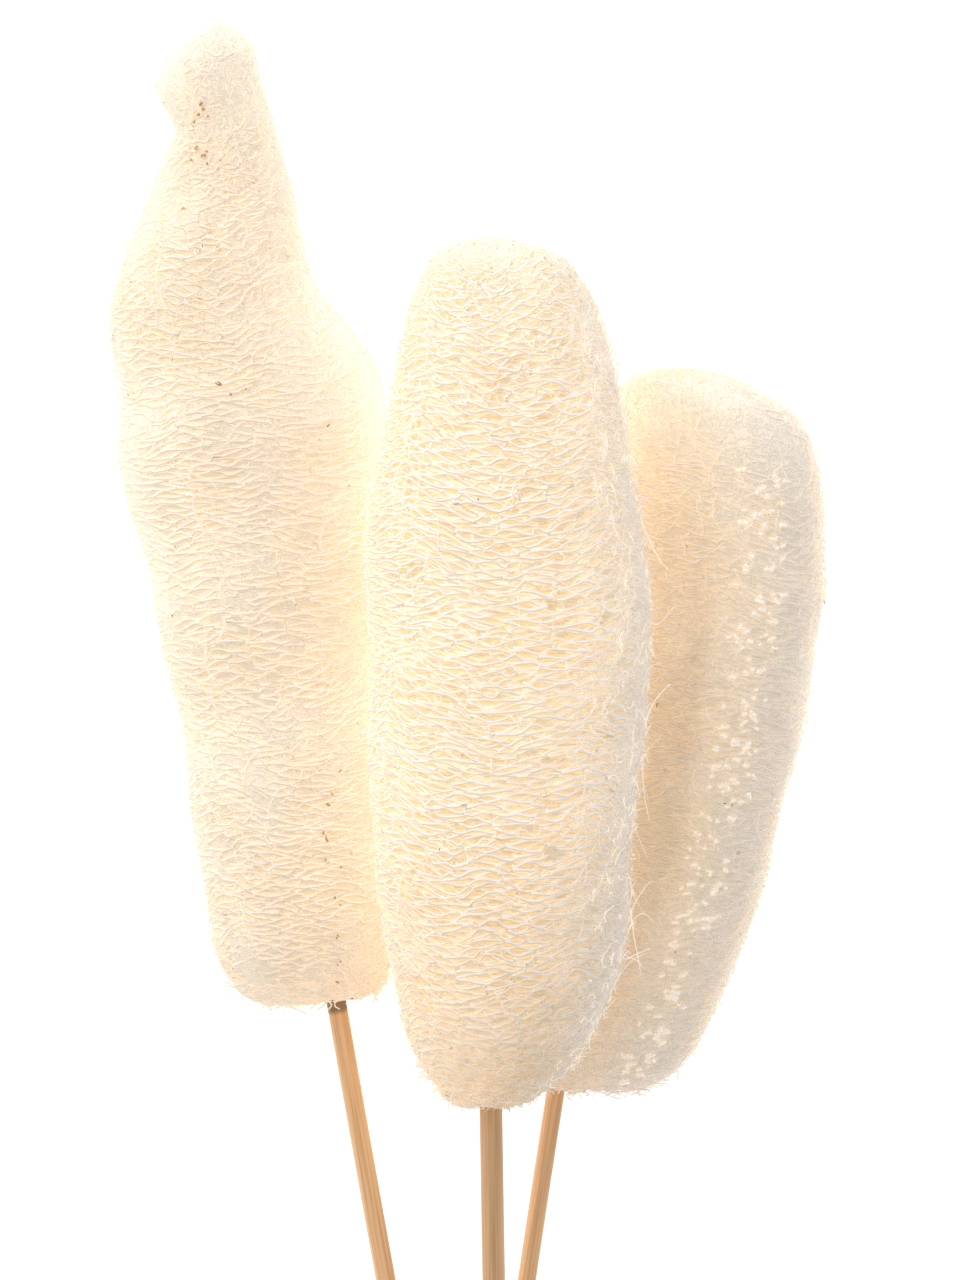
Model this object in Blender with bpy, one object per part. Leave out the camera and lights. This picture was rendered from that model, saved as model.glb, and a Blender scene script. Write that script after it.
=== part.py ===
# Bunch of three bleached luffa heads on cane stems, laid down on a flat surface.
#
# A luffa head is the dried, peeled and bleached fibre skeleton of a gourd. Each head is pushed
# onto a cane stem at its broader end. Two heads lie on the surface side by side, the third lies
# in the valley between them, and the stems cross below the heads and fan out to their cut ends.
#
# Units are metres. The surface is z = 0, the heads point towards +Y and the stems towards -Y.
# The finished bunch is moved so that the middle of its outer box, at surface height, is the origin.

import math
from dataclasses import dataclass

import bmesh
import bpy
import numpy as np
from mathutils import Matrix, Vector
from mathutils.geometry import interpolate_bezier

# The raised net that covers every head: staggered rows of lens-shaped cells.
CELLS_AROUND = 14
ROW_SPACING = 0.0023       # between rows, measured along the outline
CELL_DEPTH = 0.0021        # floor of a full-sized cell below its strands
CELL_DEPTH_RANGE = (0.75, 1.25)  # shallowest and deepest cells, as a share of that
FULL_CELL_WIDTH = 0.007    # narrower cells, near the ends, are shallower in proportion
STRAND_WANDER = 0.28       # how far a knot strays, as a share of the row spacing
STRAND_SHIFT = 0.18        # how far a knot strays around the head, as a share of a cell
STRAND_DIP = 0.00035       # knots lie up to this far below the outline
NET_DRIFT = 0.0014         # how far the rings of cells drift to and fro along the head
DRIFT_LENGTH = 0.11        # length along the head in which the drift repeats
DRIFT_FADE = 0.030         # distance from either end over which it builds up
SWELL = 0.0005             # slow unevenness of the whole surface
SWELL_LENGTHS = (0.030, 0.070)   # shortest and longest wave of that unevenness
ROUND_END = 0.006          # half width below which the tip is left smooth
REST_RADIUS = 0.009        # size of the flat spot that a lying head rests on

# The blind hole that a stem is pushed into.
HOLE_DEPTH = 0.040
HOLE_CLEARANCE = 0.0004    # radial gap between stem and hole
HOLE_END_GAP = 0.0008      # between the stem's inner end and the hole's floor

# Sampling of smooth curves.
OUTLINE_STEPS = 24         # per span of a head's outline
STEM_STEPS = 10            # per half of a stem's free length
STEM_BEVEL_RESOLUTION = 3  # gives a ten-sided stem

# Finishes.
FIBRE_ROUGHNESS = 0.85
CANE_ROUGHNESS = 0.6


@dataclass
class Stem:
    """A cane stem: where it enters its head, where it crosses the others and its cut end."""

    name: str
    radius: float
    entry: tuple
    lean: float        # degrees to the +X side, seen from above, going up into the head
    rise: float        # degrees upwards, going up into the head
    crossing: tuple
    foot: tuple
    colour: tuple


@dataclass
class Head:
    """A luffa head in its own frame: the stem's entry is the origin and +Y runs to the tip."""

    name: str
    stem: Stem
    lean: float        # degrees to the +X side, seen from above
    tilt: float        # degrees, tip upwards
    outline: tuple     # (distance from the entry, half width)
    sway: tuple        # (distance from the entry, sideways offset of the middle)
    flatness: float    # half height as a share of half width
    lumps: tuple       # (distance, angle in degrees from +X over the top, height, width)
    rest: float        # distance of the flat spot that it rests on, or None
    seed: int
    colour: tuple


STEM_LEFT = Stem(
    name="stem_left",
    radius=0.0023,
    entry=(-0.0301, -0.0776, 0.0215),
    lean=-9.3,
    rise=3.4,
    crossing=(-0.0045, -0.2250, 0.0152),
    foot=(0.0300, -0.4180, 0.0023),
    colour=(0.60, 0.36, 0.16, 1.0),
)
STEM_MIDDLE = Stem(
    name="stem_middle",
    radius=0.0023,
    entry=(0.0022, -0.0951, 0.0464),
    lean=-0.9,
    rise=7.0,
    crossing=(0.0046, -0.2250, 0.0296),
    foot=(0.0092, -0.4260, 0.0023),
    colour=(0.56, 0.38, 0.20, 1.0),
)
STEM_RIGHT = Stem(
    name="stem_right",
    radius=0.0020,
    entry=(0.0161, -0.0968, 0.0175),
    lean=8.6,
    rise=3.2,
    crossing=(-0.0022, -0.2250, 0.0105),
    foot=(-0.0310, -0.4220, 0.0020),
    colour=(0.60, 0.33, 0.13, 1.0),
)

HEADS = (
    Head(
        name="luffa_left",
        stem=STEM_LEFT,
        lean=-6.4,
        tilt=3.6,
        outline=(
            (0.0006, 0.0080), (0.0036, 0.0142), (0.0106, 0.0186), (0.0212, 0.0212),
            (0.0424, 0.0227), (0.0674, 0.0237), (0.0988, 0.0266), (0.1216, 0.0276),
            (0.1358, 0.0250), (0.1486, 0.0213), (0.1606, 0.0176), (0.1726, 0.0131),
            (0.1816, 0.0105), (0.1906, 0.0103), (0.1972, 0.0080), (0.2019, 0.0),
        ),
        sway=(
            (0.0, 0.0), (0.0050, -0.0036), (0.0106, -0.0040), (0.0424, -0.0024),
            (0.0674, -0.0017), (0.1113, -0.0028), (0.1298, -0.0030), (0.1420, -0.0062),
            (0.1486, -0.0074), (0.1606, -0.0064), (0.1726, -0.0032), (0.1816, -0.0012),
            (0.1906, -0.0028), (0.1972, -0.0024), (0.2019, -0.0010),
        ),
        flatness=1.07,
        lumps=(
            (0.1910, 170.0, 0.0012, 0.0050),
            (0.1826, 180.0, -0.0013, 0.0045),
            (0.1790, 60.0, 0.0010, 0.0060),
            (0.0030, 160.0, 0.0014, 0.0050),
        ),
        rest=0.106,
        seed=11,
        colour=(0.90, 0.80, 0.62, 1.0),
    ),
    Head(
        name="luffa_middle",
        stem=STEM_MIDDLE,
        lean=0.3,
        tilt=4.3,
        outline=(
            (0.0002, 0.0054), (0.0020, 0.0092), (0.0078, 0.0142), (0.0137, 0.0183),
            (0.0199, 0.0209), (0.0323, 0.0239), (0.0528, 0.0260), (0.0834, 0.0278),
            (0.1036, 0.0283), (0.1236, 0.0268), (0.1435, 0.0228), (0.1593, 0.0196),
            (0.1670, 0.0168), (0.1730, 0.0116), (0.1755, 0.0),
        ),
        sway=(
            (0.0, 0.0), (0.0078, 0.0016), (0.0323, 0.0021), (0.0834, 0.0025),
            (0.1036, 0.0028), (0.1336, 0.0018), (0.1534, 0.0012), (0.1670, 0.0014),
            (0.1755, 0.0008),
        ),
        flatness=0.93,
        lumps=(
            (0.1660, 80.0, -0.0016, 0.0070),
            (0.0080, 300.0, 0.0008, 0.0070),
        ),
        rest=None,
        seed=23,
        colour=(0.93, 0.84, 0.66, 1.0),
    ),
    Head(
        name="luffa_right",
        stem=STEM_RIGHT,
        lean=10.6,
        tilt=0.8,
        outline=(
            (0.0004, 0.0070), (0.0020, 0.0128), (0.0058, 0.0158), (0.0124, 0.0184),
            (0.0322, 0.0212), (0.0541, 0.0228), (0.0860, 0.0228), (0.1110, 0.0230),
            (0.1300, 0.0224), (0.1410, 0.0204), (0.1480, 0.0158), (0.1521, 0.0),
        ),
        sway=(
            (0.0, 0.0), (0.0020, 0.0040), (0.0058, 0.0070), (0.0124, 0.0087),
            (0.0322, 0.0106), (0.0541, 0.0128), (0.0860, 0.0130), (0.1110, 0.0126),
            (0.1300, 0.0098), (0.1430, 0.0058), (0.1521, 0.0005),
        ),
        flatness=0.84,
        lumps=(
            (0.0020, 320.0, 0.0010, 0.0080),
            (0.1420, 150.0, 0.0008, 0.0100),
        ),
        rest=0.095,
        seed=37,
        colour=(0.86, 0.77, 0.58, 1.0),
    ),
)


def direction(lean, rise):
    """Unit vector from a stem's cut end towards its head, from its lean and rise in degrees."""
    flat = math.cos(math.radians(rise))
    return Vector((
        flat * math.sin(math.radians(lean)),
        flat * math.cos(math.radians(lean)),
        math.sin(math.radians(rise)),
    ))


def placement(head):
    """The head's place: its origin at the stem's entry, leant sideways and tilted."""
    turn = Matrix.Rotation(math.radians(-head.lean), 4, "Z")
    tip_up = Matrix.Rotation(math.radians(head.tilt), 4, "X")
    return Matrix.Translation(Vector(head.stem.entry)) @ turn @ tip_up


def catmull_rom(points, steps):
    """A smooth curve through all the points, as a dense row of points."""
    points = np.asarray(points, dtype=float)
    t = np.linspace(0.0, 1.0, steps, endpoint=False)[:, None]
    spans = []
    for i in range(1, len(points) - 2):
        before, start, end, after = points[i - 1:i + 3]
        spans.append(0.5 * (
            2.0 * start
            + (end - before) * t
            + (2.0 * before - 5.0 * start + 4.0 * end - after) * t ** 2
            + (3.0 * start - before - 3.0 * end + after) * t ** 3
        ))
    return np.vstack(spans + [points[-2:-1]])


def head_outline(head):
    """The outline as a dense row of points: run along it, then distance, half width and outward.

    It starts at the rim of the stem's hole and ends at the tip, where it crosses the middle line
    at a right angle. Outward is a direction with a part along the head and a part across it.
    """
    rim = (0.0, head.stem.radius + HOLE_CLEARANCE)
    through = [rim, *head.outline]
    mirrored_start = (through[1][0], -through[1][1])
    mirrored_end = (through[-2][0], -through[-2][1])
    curve = catmull_rom([mirrored_start, *through, mirrored_end], OUTLINE_STEPS)
    run = np.concatenate([[0.0], np.cumsum(np.linalg.norm(np.diff(curve, axis=0), axis=1))])
    step = np.gradient(curve, axis=0)
    step /= np.linalg.norm(step, axis=1)[:, None]
    return run, (curve[:, 0], curve[:, 1], -step[:, 1], step[:, 0])


def unevenness(head, along, angle):
    """Outward shift of the surface: slow waves drawn from the head's seed, and its lumps."""
    draw = np.random.default_rng(head.seed)
    shift = np.zeros(np.broadcast(along, angle).shape)
    for turns in (1, 2, 3, 4):
        wave_length = draw.uniform(*SWELL_LENGTHS)
        phase = draw.uniform(0.0, 2.0 * math.pi)
        shift += SWELL / turns * np.sin(turns * angle + 2.0 * math.pi * along / wave_length + phase)
    for distance, degrees, height, width in head.lumps:
        around = np.angle(np.exp(1j * (angle - math.radians(degrees))))
        across = around * np.interp(distance, *zip(*head.outline))
        shift += height * np.exp(-((along - distance) ** 2 + across ** 2) / width ** 2)
    return shift


def flat_spot(head, along, angle):
    """One on the spot under the head that it rests on, and nothing everywhere else."""
    if head.rest is None:
        return np.zeros(np.broadcast(along, angle).shape)
    across = np.angle(np.exp(1j * (angle + math.pi / 2.0)))
    across = across * np.interp(head.rest, *zip(*head.outline))
    return np.hypot(along - head.rest, across) < REST_RADIUS


def net_points(head, outline, at, angle, inset):
    """Points on the head, inset below the outline, at the given runs along it and angles.

    Each ring is an ellipse about the swaying middle line. Rings drift to and fro along the head,
    so they aren't flat: the drift is a slow wave, and fades out towards both ends.
    """
    run, curves = outline
    fade = np.clip(np.minimum(at, run[-1] - at) / DRIFT_FADE, 0.0, 1.0)
    drift = NET_DRIFT * np.sin(2.0 * angle + 2.0 * math.pi * at / DRIFT_LENGTH + head.seed)
    at = at + fade * drift
    along, half_width, outward_along, outward_across = (np.interp(at, run, c) for c in curves)
    outward = unevenness(head, along, angle) - inset * (1.0 - flat_spot(head, along, angle))
    outward = outward * np.clip(half_width / ROUND_END, 0.0, 1.0)
    reach = half_width + outward_across * outward
    points = np.empty(angle.shape + (3,))
    points[..., 0] = np.interp(along, *zip(*head.sway)) + reach * np.cos(angle)
    points[..., 1] = along + outward_along * outward
    points[..., 2] = reach * head.flatness * np.sin(angle)
    return points


def resting(points, place):
    """The same points, with those that would sink into the surface flattened onto it."""
    turn = np.array(place.to_3x3())
    shift = np.array(place.translation)
    world = points @ turn.T + shift
    world[:, 2] = np.maximum(world[:, 2], 0.0)
    return (world - shift) @ turn


def net_of_cells(head):
    """Knots, where strands meet, pits, the floors of the cells between them, and the tip.

    Odd rows are turned by half a cell, so four neighbouring knots bound one lens-shaped cell.
    The first row is the rim of the stem's hole, so pits start at the second.
    """
    outline = head_outline(head)
    run, (along, half_width, _, _) = outline
    draw = np.random.default_rng(head.seed + 1)
    rows = round(run[-1] / ROW_SPACING)
    spacing = run[-1] / rows
    row = np.arange(rows)[:, None]
    column = np.arange(CELLS_AROUND)[None, :] + 0.5 * (row % 2)
    cell_angle = 2.0 * math.pi / CELLS_AROUND
    fullness = np.interp(row * spacing, run, half_width) * cell_angle / FULL_CELL_WIDTH
    fullness = np.clip(fullness, 0.0, 1.0)
    moving = (row > 1) & (row < rows - 1)
    size = (rows, CELLS_AROUND)

    wander = draw.uniform(-STRAND_WANDER, STRAND_WANDER, size) * moving * fullness
    shift = draw.uniform(-STRAND_SHIFT, STRAND_SHIFT, size) * moving
    dip = draw.uniform(0.0, STRAND_DIP, size) * moving
    angle = (column + shift) * cell_angle
    knots = net_points(head, outline, (row + wander) * spacing, angle, dip)
    depth = CELL_DEPTH * fullness * draw.uniform(*CELL_DEPTH_RANGE, size)
    pits = net_points(head, outline, row * spacing, (column + 0.5) * cell_angle, depth)[1:-1]
    tip = np.array([[np.interp(along[-1], *zip(*head.sway)), along[-1], 0.0]])
    return knots, pits, tip


def hole_rings(head, place):
    """Rim and floor of the hole, which follows the stem and so may lean in the head."""
    into = place.to_3x3().transposed() @ direction(head.stem.lean, head.stem.rise)
    side = into.cross(Vector((0.0, 0.0, 1.0))).normalized()
    up = side.cross(into)
    around = np.arange(CELLS_AROUND)[:, None] * 2.0 * math.pi / CELLS_AROUND
    rim = np.cos(around) * np.array(side) + np.sin(around) * np.array(up)
    rim *= head.stem.radius + HOLE_CLEARANCE
    return rim, rim + HOLE_DEPTH * np.array(into)


def build_head(head):
    """The head's mesh: knots joined by raised strands, with a pit in the middle of every cell."""
    place = placement(head)
    knots, pits, tip = net_of_cells(head)
    rim, floor = hole_rings(head, place)
    knots[0] = rim
    last = len(knots) - 1
    first_pit = knots.shape[0] * CELLS_AROUND
    tip_at = first_pit + pits.shape[0] * CELLS_AROUND
    points = np.vstack([knots.reshape(-1, 3), pits.reshape(-1, 3), tip, floor])

    mesh = bmesh.new()
    vertices = [mesh.verts.new(point) for point in resting(points, place)]

    def knot(i, j):
        return vertices[i * CELLS_AROUND + j % CELLS_AROUND]

    for j in range(CELLS_AROUND):
        for i in range(1, last):
            pit = vertices[first_pit + (i - 1) * CELLS_AROUND + j]
            beside = j + i % 2
            ring = [knot(i, j), knot(i - 1, beside), knot(i, j + 1), knot(i + 1, beside)]
            for first, second in zip(ring, ring[1:] + ring[:1]):
                mesh.faces.new((first, second, pit))
        mesh.faces.new((knot(0, j + 1), knot(0, j), knot(1, j)))
        mesh.faces.new((knot(last, j), knot(last, j + 1), knot(last - 1, j + last % 2)))
        mesh.faces.new((knot(last, j + 1), knot(last, j), vertices[tip_at]))
        low = vertices[tip_at + 1 + j]
        low_next = vertices[tip_at + 1 + (j + 1) % CELLS_AROUND]
        mesh.faces.new((knot(0, j), knot(0, j + 1), low_next, low))
    mesh.faces.new(vertices[tip_at + 1:])
    bmesh.ops.recalc_face_normals(mesh, faces=mesh.faces)

    data = bpy.data.meshes.new(head.name)
    mesh.to_mesh(data)
    mesh.free()
    data.materials.append(plain_material(head.name + "_fibre", head.colour, FIBRE_ROUGHNESS))
    piece = bpy.data.objects.new(head.name, data)
    piece.matrix_world = place
    return piece


def build_stem(stem):
    """A round cane along a smooth path: straight in its hole, then bending to its cut end."""
    entry = Vector(stem.entry)
    into = direction(stem.lean, stem.rise)
    crossing = Vector(stem.crossing)
    foot = Vector(stem.foot)
    inner_end = entry + (HOLE_DEPTH - HOLE_END_GAP) * into
    through = (entry - foot).normalized()
    away = (crossing - foot).normalized()
    third = (entry - crossing).length / 3.0
    upper = interpolate_bezier(
        entry, entry - third * into, crossing + third * through, crossing, STEM_STEPS + 1,
    )
    third = (crossing - foot).length / 3.0
    lower = interpolate_bezier(
        crossing, crossing - third * through, foot + third * away, foot, STEM_STEPS + 1,
    )
    path = [inner_end, *upper, *lower[1:]]

    curve = bpy.data.curves.new(stem.name, "CURVE")
    curve.dimensions = "3D"
    curve.bevel_depth = stem.radius
    curve.bevel_resolution = STEM_BEVEL_RESOLUTION
    curve.use_fill_caps = True
    curve.twist_mode = "MINIMUM"
    spline = curve.splines.new("POLY")
    spline.points.add(len(path) - 1)
    for point, place in zip(spline.points, path):
        point.co = (*(place - entry), 1.0)
    piece = bpy.data.objects.new(stem.name, curve)
    piece.location = entry
    curve.materials.append(plain_material(stem.name + "_cane", stem.colour, CANE_ROUGHNESS))
    return piece


def plain_material(name, colour, roughness):
    """A Principled BSDF with one colour, non-metallic."""
    material = bpy.data.materials.new(name)
    material.use_nodes = True
    shader = material.node_tree.nodes["Principled BSDF"]
    shader.inputs["Base Color"].default_value = colour
    shader.inputs["Roughness"].default_value = roughness
    shader.inputs["Metallic"].default_value = 0.0
    material.diffuse_color = colour
    return material


def corners(piece, depsgraph):
    """Lowest and highest corner of an object as it is evaluated, in world space."""
    evaluated = piece.evaluated_get(depsgraph)
    mesh = evaluated.to_mesh()
    points = np.empty(len(mesh.vertices) * 3)
    mesh.vertices.foreach_get("co", points)
    world = points.reshape(-1, 3) @ np.array(piece.matrix_world.to_3x3()).T
    world += np.array(piece.matrix_world.translation)
    evaluated.to_mesh_clear()
    return world.min(axis=0), world.max(axis=0)


def main():
    for piece in list(bpy.data.objects):
        bpy.data.objects.remove(piece)

    bunch = bpy.data.objects.new("bunch", None)
    pieces = []
    for head in HEADS:
        pieces.append(build_head(head))
        pieces.append(build_stem(head.stem))
    for piece in [bunch, *pieces]:
        bpy.context.scene.collection.objects.link(piece)
    for piece in pieces:
        piece.parent = bunch
    bpy.context.view_layer.update()

    depsgraph = bpy.context.evaluated_depsgraph_get()
    boxes = [corners(piece, depsgraph) for piece in pieces]
    lowest = np.min([box[0] for box in boxes], axis=0)
    highest = np.max([box[1] for box in boxes], axis=0)
    middle = (lowest + highest) / 2.0
    bunch.location = (-middle[0], -middle[1], 0.0)
    bpy.context.view_layer.update()


main()
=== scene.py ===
# %% [markdown]
# # A bunch of bleached luffa heads on cane stems
#
# A luffa is a gourd. When it is ripe it is dried, peeled, rinsed of its seeds and bleached, and
# what is left is the pale net of fibres that carried its water. Three such heads, each pushed
# onto a stick of cane, make the bunch. Two heads lie on the table, the third lies in the valley
# between them, and the stems cross below.
#
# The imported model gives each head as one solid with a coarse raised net. This lesson puts the
# real surface in its place: a matted core, and thousands of thin strands of fibre over it.

# %% Load the frame
import math
from functools import lru_cache
from typing import NamedTuple

import bpy
import numpy as np
from mathutils import Matrix, Vector
from mathutils.geometry import interpolate_bezier


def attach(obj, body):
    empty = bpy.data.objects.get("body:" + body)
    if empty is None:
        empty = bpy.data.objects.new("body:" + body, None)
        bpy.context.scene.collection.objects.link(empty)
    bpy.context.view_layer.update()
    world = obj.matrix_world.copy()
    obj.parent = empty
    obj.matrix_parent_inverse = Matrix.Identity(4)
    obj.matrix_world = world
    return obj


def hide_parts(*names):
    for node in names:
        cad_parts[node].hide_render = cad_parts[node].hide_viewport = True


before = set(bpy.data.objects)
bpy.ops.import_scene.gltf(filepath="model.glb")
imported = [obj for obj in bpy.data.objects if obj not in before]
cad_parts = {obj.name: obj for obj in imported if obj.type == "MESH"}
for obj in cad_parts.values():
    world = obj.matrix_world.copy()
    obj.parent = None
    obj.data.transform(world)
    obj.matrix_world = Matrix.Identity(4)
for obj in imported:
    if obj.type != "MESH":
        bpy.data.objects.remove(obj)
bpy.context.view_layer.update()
MM = 0.001
print("CAD nodes:", sorted(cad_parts))

# %% [markdown]
# ## The camera
#
# The photograph shows the bunch upright and from a little above. Here the bunch is laid down, so
# the camera looks down on it instead, and leans back by the same few degrees. A long lens from
# 0.9 m keeps the near and the far head at nearly the same scale, as the photograph does. The
# picture is as tall as 256 mm of the bunch, and the ends of the stems are outside it.

# %% Make the camera
CAMERA_AIM = Vector((1.84, 151.89, 50.0)) * MM
CAMERA_DISTANCE = 900 * MM
CAMERA_LEAN = math.radians(6.0)
VIEW_HEIGHT = 256 * MM
SENSOR_HEIGHT = 36.0

camera = bpy.data.cameras.new("camera")
camera.sensor_fit = "VERTICAL"
camera.sensor_height = SENSOR_HEIGHT
camera.lens = SENSOR_HEIGHT * CAMERA_DISTANCE / VIEW_HEIGHT
camera_holder = bpy.data.objects.new("camera", camera)
camera_holder.location = CAMERA_AIM + CAMERA_DISTANCE * Vector(
    (0.0, math.sin(CAMERA_LEAN), math.cos(CAMERA_LEAN))
)
camera_holder.rotation_euler = (-CAMERA_LEAN, 0.0, 0.0)
bpy.context.scene.collection.objects.link(camera_holder)
bpy.context.scene.camera = camera_holder
print("lens in mm:", round(camera.lens, 1))

# %% [markdown]
# ## Table and light
#
# The photograph is high key: the ground is pure white and wraps round the edges of the heads,
# the light comes from the upper left, and the right-hand sides are only a little darker. A white
# table that glows a little, as a light table does, gives the white ground and the bright edges.
# One large soft lamp at the upper left gives the direction, and an even white sky fills the
# rest.

# %% Make the table, the lamp and the sky
TABLE_SIDE = 6.0
TABLE_DROP = 0.05 * MM
TABLE_GLOW = 0.6
LAMP_FROM = Vector((-0.75, 0.90, 0.90))
LAMP_SIZE = 1.5
LAMP_POWER = 10.0
SKY_STRENGTH = 0.45
LIGHT_BOUNCES = 5

scene = bpy.context.scene
scene.view_settings.view_transform = "Standard"
scene.cycles.max_bounces = LIGHT_BOUNCES
scene.cycles.diffuse_bounces = LIGHT_BOUNCES

half = TABLE_SIDE / 2.0
table_mesh = bpy.data.meshes.new("table")
table_corners = [(-half, -half), (half, -half), (half, half), (-half, half)]
table_mesh.from_pydata([(x, y, -TABLE_DROP) for x, y in table_corners], [], [(0, 1, 2, 3)])
table = bpy.data.objects.new("table", table_mesh)
scene.collection.objects.link(table)

lamp_data = bpy.data.lights.new("lamp", "AREA")
lamp_data.shape = "DISK"
lamp_data.size = LAMP_SIZE
lamp_data.energy = LAMP_POWER
lamp = bpy.data.objects.new("lamp", lamp_data)
lamp.location = CAMERA_AIM + LAMP_FROM
lamp.rotation_euler = LAMP_FROM.to_track_quat("Z", "Y").to_euler()
scene.collection.objects.link(lamp)

sky = bpy.data.worlds.new("sky")
sky.use_nodes = True
sky.node_tree.nodes["Background"].inputs["Color"].default_value = (1.0, 1.0, 1.0, 1.0)
sky.node_tree.nodes["Background"].inputs["Strength"].default_value = SKY_STRENGTH
scene.world = sky
print("lamp:", LAMP_POWER, "W; sky:", SKY_STRENGTH, "; glow of the table:", TABLE_GLOW)

# %% [markdown]
# ## Shader sums written as sums
#
# A finish is a network of nodes. Wiring each sum by hand hides what it says, so a small class
# wraps a socket: adding or multiplying two wires adds the Math node that does it. Every other
# node comes from one method that takes its kind, its settings and what goes into its sockets.

# %% A wire and a finish
class Wire:
    """A number on its way from a node's socket. Python's operators add Math nodes to it."""

    def __init__(self, finish, socket):
        self.finish = finish
        self.socket = socket

    def sum(self, operation, *values):
        """A Math node that works on the values in their order."""
        return self.finish.node("Math", {"operation": operation}, dict(enumerate(values)))

    def __add__(self, other):
        return self.sum("ADD", self, other)

    def __sub__(self, other):
        return self.sum("SUBTRACT", self, other)

    def __rsub__(self, other):
        return self.sum("SUBTRACT", other, self)

    def __mul__(self, other):
        return self.sum("MULTIPLY", self, other)

    def __gt__(self, other):
        return self.sum("GREATER_THAN", self, other)

    __radd__ = __add__
    __rmul__ = __mul__


class Finish:
    """A material in the making, with one method that adds any node."""

    def __init__(self, name, constants):
        self.material = bpy.data.materials.new(name)
        self.material.use_nodes = True
        self.tree = self.material.node_tree
        self.shader = self.tree.nodes["Principled BSDF"]
        self.show(constants)

    def plug(self, value, socket):
        """Links a wire to the socket, or sets the socket to a plain value."""
        if isinstance(value, Wire):
            self.tree.links.new(value.socket, socket)
        else:
            socket.default_value = value

    def show(self, looks):
        """Puts each value or wire into the shader's own socket of that name."""
        for name, value in looks.items():
            self.plug(value, self.shader.inputs[name])

    def node(self, kind, settings=None, sockets=None, output=0):
        """Adds a node: its settings first, then what its sockets hold. Returns one output."""
        made = self.tree.nodes.new("ShaderNode" + kind)
        for name, value in (settings or {}).items():
            setattr(made, name, value)
        for name, value in (sockets or {}).items():
            self.plug(value, made.inputs[name])
        return Wire(self, made.outputs[output])

    def value(self, name):
        """A number that the mesh carries at each of its points."""
        return self.node("Attribute", {"attribute_name": name}, output="Fac")

    def place(self):
        """Object coordinates, in metres."""
        return self.node("TexCoord", output="Object")

    def mix(self, share, first, second, blend="MIX"):
        """The first colour where share is 0, and the second blended over it where it is 1."""
        settings = {"data_type": "RGBA", "blend_type": blend, "clamp_factor": True}
        return self.node("Mix", settings, {0: share, 6: first, 7: second}, output=2)

    def noise(self, where, scale, detail=2.0, curl=0.0):
        """Cloudy numbers from 0 to 1 with scale blobs to a unit of place, bent by curl."""
        sockets = {"Vector": where, "Scale": scale, "Detail": detail, "Distortion": curl}
        return self.node("TexNoise", sockets=sockets)

    def steps(self, value, low, high):
        """Zero below low, one above high, and smooth between."""
        sockets = {"Value": value, "From Min": low, "From Max": high}
        return self.node("MapRange", {"interpolation_type": "SMOOTHSTEP"}, sockets)

    def wear(self, piece):
        """Makes this the piece's only material."""
        piece.data.materials.clear()
        piece.data.materials.append(self.material)


print("a wire understands + - * and >")

# %% [markdown]
# ## A finish for the table
#
# A photographer's white table is plain, matt and faintly lit. Its glow is the same all over, so
# it is set on the shader itself, with no nodes.

# %% Finish the table
white = Finish("table_white", {
    "Base Color": (0.9, 0.9, 0.9, 1.0),
    "Roughness": 0.9,
    "Emission Color": (1.0, 1.0, 1.0, 1.0),
    "Emission Strength": TABLE_GLOW,
})
white.wear(table)
print("table:", TABLE_SIDE, "m square, finish", white.material.name)

# %% [markdown]
# ## From arrays to a mesh
#
# Every piece below is worked out with numpy as whole arrays: one array of points, and arrays of
# the faces between them. One function lays them into a mesh, with the numbers that the finishes
# read at each point, such as how deep a strand lies in the head.

# %% Lay arrays into a mesh
def lay_mesh(name, points, faces, values):
    """A smooth mesh from (n, 3) points, arrays of faces with 3 or 4 corners, and named numbers."""
    mesh = bpy.data.meshes.new(name)
    mesh.vertices.add(len(points))
    mesh.vertices.foreach_set("co", points.astype(np.float32).ravel())
    corners = np.concatenate([face.ravel() for face in faces])
    sizes = np.concatenate([np.full(len(face), face.shape[1]) for face in faces])
    mesh.loops.add(len(corners))
    mesh.loops.foreach_set("vertex_index", corners.astype(np.int32))
    mesh.polygons.add(len(sizes))
    starts = np.concatenate([[0], np.cumsum(sizes)[:-1]])
    mesh.polygons.foreach_set("loop_start", starts.astype(np.int32))
    for key, numbers in values.items():
        layer = mesh.attributes.new(key, "FLOAT", "POINT")
        layer.data.foreach_set("value", numbers.astype(np.float32).ravel())
    mesh.update(calc_edges=True)
    mesh.validate()
    mesh.shade_smooth()
    piece = bpy.data.objects.new(name, mesh)
    bpy.context.scene.collection.objects.link(piece)
    triangles = int(np.sum(sizes - 2))
    print(f"{name}: {triangles} triangles")
    return piece


def settle(piece, slot, *nodes):
    """The piece joins the object: it rides on its one body, and may stand for CAD nodes."""
    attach(piece, "root")
    if nodes:
        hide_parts(*nodes)


# %% [markdown]
# ## The three heads
#
# A head has a round cross-section that swells and narrows along its length, a middle line that
# sways a little from side to side, and a few lumps and dents. The same few numbers shaped the
# CAD solids: points of the outline, of the sway, and how flat the head is. Distances are in
# millimetres from where the stem goes in. Tone marks are soft spots, each with a middle, a width
# both ways and a strength. The base of a head is tan, and the tan in another head's shadow and
# along a groove is painted shade; the grey of the shaded flanks and bases is painted shade, and
# the white of the lit edges and tops is painted light.

# %% The heads' driving sizes
class Stem(NamedTuple):
    """A stick of cane: where it enters its head, where it crosses the others, its cut end."""

    name: str
    radius: float
    entry: tuple
    lean: float  # degrees to the +X side, going up into the head
    rise: float  # degrees upwards, going up into the head
    crossing: tuple
    foot: tuple


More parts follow.
